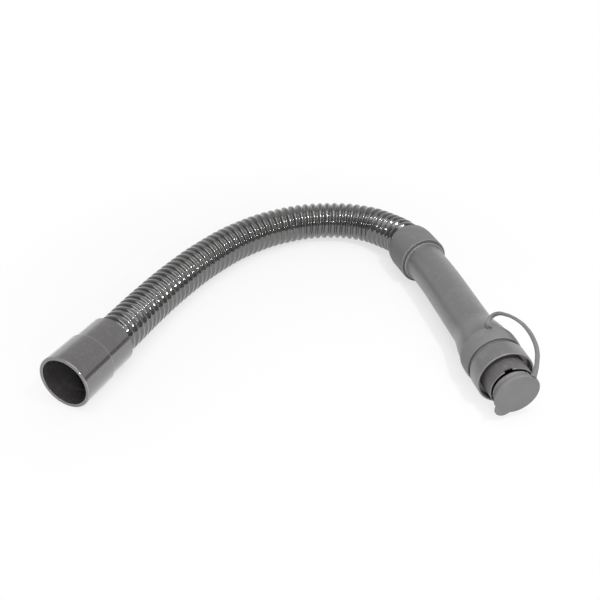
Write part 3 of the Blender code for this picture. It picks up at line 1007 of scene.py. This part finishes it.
def strapTree():
    tree, given, result = newTree(
        "strap",
        [
            ("Line", "Object"),
            ("Width", "Float"),
            ("Thickness", "Float"),
            ("Edge Round", "Float"),
            ("Root Growth", "Float"),
            ("Spacing", "Float"),
            ("Material", "Material"),
        ],
    )
    line = addNode(tree, "GeometryNodeObjectInfo", {"Object": given["Line"]}).outputs["Geometry"]
    inputs = {"Curve": line, "Length": given["Spacing"]}
    even = addNode(tree, "GeometryNodeResampleCurve", inputs, mode="LENGTH").outputs["Curve"]
    upright = addNode(tree, "GeometryNodeSetCurveNormal", {"Curve": even}, mode="Z_UP")
    # the strap thickens towards both of its roots
    share = addNode(tree, "GeometryNodeSplineParameter").outputs["Factor"]
    fromMiddle = mathNode(tree, "ABSOLUTE", mathNode(tree, "SUBTRACT", share, 0.5))
    nearRoot = remap(tree, mathNode(tree, "MULTIPLY", fromMiddle, 2.0), 0.86, 1.0, 0.0, 1.0)
    growth = mathNode(tree, "POWER", nearRoot, 2.0)
    growth = mathNode(tree, "MULTIPLY", growth, given["Root Growth"])
    size = mathNode(tree, "ADD", 1.0, growth)
    inputs = {"Width": given["Thickness"], "Height": given["Width"]}
    box = addNode(tree, "GeometryNodeCurvePrimitiveQuadrilateral", inputs).outputs["Curve"]
    section = addNode(
        tree,
        "GeometryNodeFilletCurve",
        {"Curve": box, "Count": 4, "Radius": given["Edge Round"], "Limit Radius": True},
        mode="POLY",
    ).outputs["Curve"]
    band = addNode(
        tree,
        "GeometryNodeCurveToMesh",
        {
            "Curve": upright.outputs["Curve"],
            "Profile Curve": section,
            "Scale": size,
            "Fill Caps": True,
        },
    ).outputs["Mesh"]
    finishTree(tree, band, given["Material"], result)
    return tree


def makeStrapMesh():
    s = capSizes
    plane = Vector(s["strapSide"]).normalized().to_track_quat("Z", "Y").to_matrix().to_4x4()
    curve = bpy.data.curves.new("strapLine", "CURVE")
    curve.dimensions = "3D"
    curve.resolution_u = 16
    spline = curve.splines.new("BEZIER")
    route = [Vector(place) * mm + Vector((0, ringOuter, s["ringStation"])) for place in strapStart]
    route += [Vector(place) * mm + Vector((0, 0, capStation)) for place in strapEnd]
    spline.bezier_points.add(len(route) - 1)
    for point, place in zip(spline.bezier_points, route):
        point.co = plane.inverted() @ (place + Vector((0, 0, outletSizes["plugDepth"])))
        point.handle_left_type = point.handle_right_type = "AUTO"
    line = bpy.data.objects.new("strapLine", curve)
    bpy.context.scene.collection.objects.link(line)
    strapLength = spline.calc_length()
    mesh = runTree(
        "strapBand",
        strapTree(),
        {
            "Line": line,
            "Width": s["strapWidth"],
            "Thickness": s["strapThickness"],
            "Edge Round": s["strapEdgeRound"],
            "Root Growth": s["strapRootGrowth"],
            "Spacing": s["strapSpacing"],
            "Material": capGrey,
        },
    )
    bpy.data.objects.remove(line)
    mesh.transform(plane)
    print("  strap length", round(strapLength, 4))
    return mesh


def makeTetheredCap():
    s = capSizes
    start, width = s["ringStation"], s["ringWidth"]
    corners = [(s["ringBore"], start, 0.4 * mm)]
    steps = 16
    for step in range(steps + 1):
        turn = -math.pi / 2 + math.pi * step / steps
        rounding = 0.5 * mm if step in (0, steps) else 0
        corners.append(
            (
                s["ringBore"] + s["ringWall"] + s["ringCrown"] * math.cos(turn),
                start + width / 2 + width / 2 * math.sin(turn),
                rounding,
            )
        )
    corners.append((s["ringBore"], start + width, 0.4 * mm))
    ring = newMeshObject("capRing", drainPiece("capRing", corners, s["sides"]))
    bead, waist, deep = s["beadRadius"], s["waistRadius"], s["skirtDepth"]
    front = s["thickness"]
    profile = [
        (0, 0, 0),
        (waist - s["skirtWall"], 0, 0.5 * mm),
        (waist - s["skirtWall"], -deep, 0.6 * mm),
        (waist, -deep, 0.6 * mm),
        (bead, -0.75 * deep, 1.2 * mm),
        (waist, -0.5 * deep, 1.0 * mm),
        (waist, 0, 0.6 * mm),
        (s["radius"], 0, 0.7 * mm),
        (s["radius"], front, 1.1 * mm),
        (s["radius"] - 6 * mm, front + 0.05 * mm, 0),
        (0, front - 0.1 * mm, 0),
    ]
    disc = turnedMesh("capDisc", roundedOutline(profile, 5), s["sides"], closed=False)
    work = bmesh.new()
    bmesh.ops.create_cone(
        work,
        cap_ends=True,
        segments=72,
        radius1=s["tabRadius"],
        radius2=s["tabRadius"],
        depth=s["tabThickness"],
    )
    rims = [edge for edge in work.edges if abs(edge.verts[0].co.z - edge.verts[1].co.z) < tiny]
    bmesh.ops.bevel(
        work, geom=rims, offset=s["tabRound"], segments=4, affect="EDGES", profile=0.5
    )
    reach = s["radius"] + s["tabReach"] - s["tabRadius"]
    turn = math.radians(s["tabAngle"])
    # a hair below the disc's face, so that the two join cleanly
    tabHeight = front - s["tabThickness"] / 2 - 0.03 * mm
    place = (-reach * math.cos(turn), -reach * math.sin(turn), tabHeight)
    bmesh.ops.translate(work, vec=place, verts=work.verts)
    tab = bpy.data.meshes.new("capTab")
    work.to_mesh(tab)
    work.free()
    tilt = (
        Matrix.Translation((0, 0, capStation + outletSizes["plugDepth"]))
        @ Matrix.Rotation(capNod, 4, "X")
        @ Matrix.Rotation(capTurn, 4, "Y")
    )
    disc.transform(tilt)
    tab.transform(tilt)
    for name, mesh in (("strap", makeStrapMesh()), ("disc", disc), ("tab", tab)):
        blank = newMeshObject(name, mesh)
        join = ring.modifiers.new(name, "BOOLEAN")
        join.operation = "UNION"
        join.object = blank
    mesh = bakedMesh(ring, "tetheredCap")
    for name in ("strap", "disc", "tab"):
        bpy.data.objects.remove(bpy.data.objects[name])
    mesh.materials.clear()
    mesh.materials.append(capGrey)
    for face in mesh.polygons:
        face.material_index = 0
    mesh.shade_smooth()
    mesh.set_sharp_from_angle(angle=math.radians(s["sharpEdge"]))
    return newMeshObject("tetheredCapMoulding", bentMesh(mesh, drainGuide), capGrey)


drainPipe = makeDrainPipe()
drainNeck = makeDrainNeck()
tetheredCap = makeTetheredCap()
drainPieces = (
    (drainPipe, "drain_pipe"),
    (drainNeck, "drain_neck"),
    (tetheredCap, "tethered_cap"),
)
for piece, node in drainPieces:
    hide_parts(node)
    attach(piece, "root")
print("drain end made")


# the floor, the world and the lamps
floorLook = {
    "half": 6.0,
    "tone": (0.95, 0.95, 0.955, 1),
    "cameraShare": 0.68,
    "shadowReach": 0.19,
    "glossyShare": 0.6,
    "glossyFarShare": 0.1,
    "glossyNear": 0.6,
    "glossyFar": 1.2,
}


def makeFloor():
    s = floorLook
    mesh = bpy.data.meshes.new("floor")
    half = s["half"]
    corners = [(-half, -half, 0), (half, -half, 0), (half, half, 0), (-half, half, 0)]
    mesh.from_pydata(corners, [], [(0, 1, 2, 3)])
    material = bpy.data.materials.new("floorWhite")
    material.use_nodes = True
    tree = material.node_tree
    tree.nodes.remove(tree.nodes["Principled BSDF"])
    matt = addNode(tree, "ShaderNodeBsdfDiffuse", {"Color": s["tone"]})
    bright = addNode(tree, "ShaderNodeEmission", {"Color": (1, 1, 1, 1), "Strength": 1.0})
    seen = addNode(tree, "ShaderNodeLightPath").outputs
    place = addNode(tree, "ShaderNodeTexCoord").outputs["Object"]
    away = addNode(tree, "ShaderNodeVectorMath", {0: place}, operation="LENGTH").outputs["Value"]
    # near the part the floor keeps its shadow; farther out it is plain white
    white = remap(tree, away, s["shadowReach"], 2 * s["shadowReach"], s["cameraShare"], 1)
    share = mathNode(tree, "MULTIPLY", seen["Is Camera Ray"], white)
    reach = (s["glossyNear"], s["glossyFar"])
    mirrored = remap(tree, away, *reach, s["glossyShare"], s["glossyFarShare"])
    share = mathNode(tree, "MULTIPLY_ADD", seen["Is Glossy Ray"], mirrored, share)
    inputs = {0: share, 1: matt.outputs[0], 2: bright.outputs[0]}
    mixed = addNode(tree, "ShaderNodeMixShader", inputs)
    tree.links.new(mixed.outputs[0], tree.nodes["Material Output"].inputs["Surface"])
    return newMeshObject("floor", mesh, material)


floor = makeFloor()


roomLight = {
    "front": 0.15,
    "back": 0.52,
    "wall": 0.95,
    "wallHeight": 0.25,
    "wallFade": 0.25,
    "gap": 0.01,
    "gapLow": 0.09,
    "gapHigh": 0.13,
    "window": 1.35,
    "windowHeading": -66,
    "windowRise": 46,
    "windowInner": 14,
    "windowOuter": 26,
}


def makeWorld():
    # a dim room, darker in front, that only light and reflections see; the camera sees white
    s = roomLight
    world = bpy.data.worlds.new("studio")
    world.use_nodes = True
    tree = world.node_tree
    tree.nodes.clear()
    skyWay = addNode(tree, "ShaderNodeTexCoord").outputs["Generated"]
    split = addNode(tree, "ShaderNodeSeparateXYZ", {0: skyWay}).outputs
    shade = remap(tree, split["Y"], -0.1, 0.2, s["front"], s["back"])
    # a dark line where the room meets the table
    above = remap(tree, split["Z"], s["gapLow"], s["gapHigh"], 0, 1)
    shade = remap(tree, above, 0, 1, s["gap"], shade)
    # a low white wall behind
    behind = remap(tree, split["Y"], 0.3, 0.6, 0, 1)
    low = remap(tree, split["Z"], s["wallHeight"], s["wallHeight"] + s["wallFade"], 1, 0)
    shade = remap(tree, mathNode(tree, "MULTIPLY", behind, low), 0, 1, shade, s["wall"])
    # a dim window between the two small lamps
    windowWay = tuple(direction(s["windowHeading"], math.radians(s["windowRise"])))
    inputs = {0: skyWay, 1: windowWay}
    facing = addNode(tree, "ShaderNodeVectorMath", inputs, operation="DOT_PRODUCT")
    outer, inner = (math.cos(math.radians(s[key])) for key in ("windowOuter", "windowInner"))
    inWindow = remap(tree, facing.outputs["Value"], outer, inner, 0, 1)
    shade = remap(tree, inWindow, 0, 1, shade, s["window"])
    room = addNode(tree, "ShaderNodeBackground", {"Color": (1, 1, 1, 1), "Strength": shade})
    plain = addNode(tree, "ShaderNodeBackground", {"Color": (1, 1, 1, 1), "Strength": 1.0})
    isSeen = addNode(tree, "ShaderNodeLightPath").outputs["Is Camera Ray"]
    inputs = {0: isSeen, 1: room.outputs[0], 2: plain.outputs[0]}
    mixed = addNode(tree, "ShaderNodeMixShader", inputs)
    output = addNode(tree, "ShaderNodeOutputWorld")
    tree.links.new(mixed.outputs[0], output.inputs["Surface"])
    return world


bpy.context.scene.world = makeWorld()


lampSizes = {
    "overhead": {"place": (0.396, -0.332, 0.971), "aim": (0, 0.05, 0), "size": 0.085, "power": 3.0},
    "front": {"place": (0.172, -0.974, 0.482), "aim": (0, 0.05, 0), "size": 0.085, "power": 1.6},
    "wide": {"place": (0, -0.4, 2.2), "aim": (0, 0, 0), "size": 1.6, "power": 17},
}
for name, facts in lampSizes.items():
    lampData = bpy.data.lights.new(name, "AREA")
    lampData.size = facts["size"]
    lampData.energy = facts["power"]
    lamp = bpy.data.objects.new(name, lampData)
    lamp.location = facts["place"]
    way = Vector(facts["aim"]) - Vector(facts["place"])
    lamp.rotation_euler = way.to_track_quat("-Z", "Y").to_euler()
    bpy.context.scene.collection.objects.link(lamp)

bpy.context.scene.view_settings.view_transform = "Standard"
print("stage made")

for helper in (hoseGuide, drainGuide):
    bpy.data.objects.remove(helper)
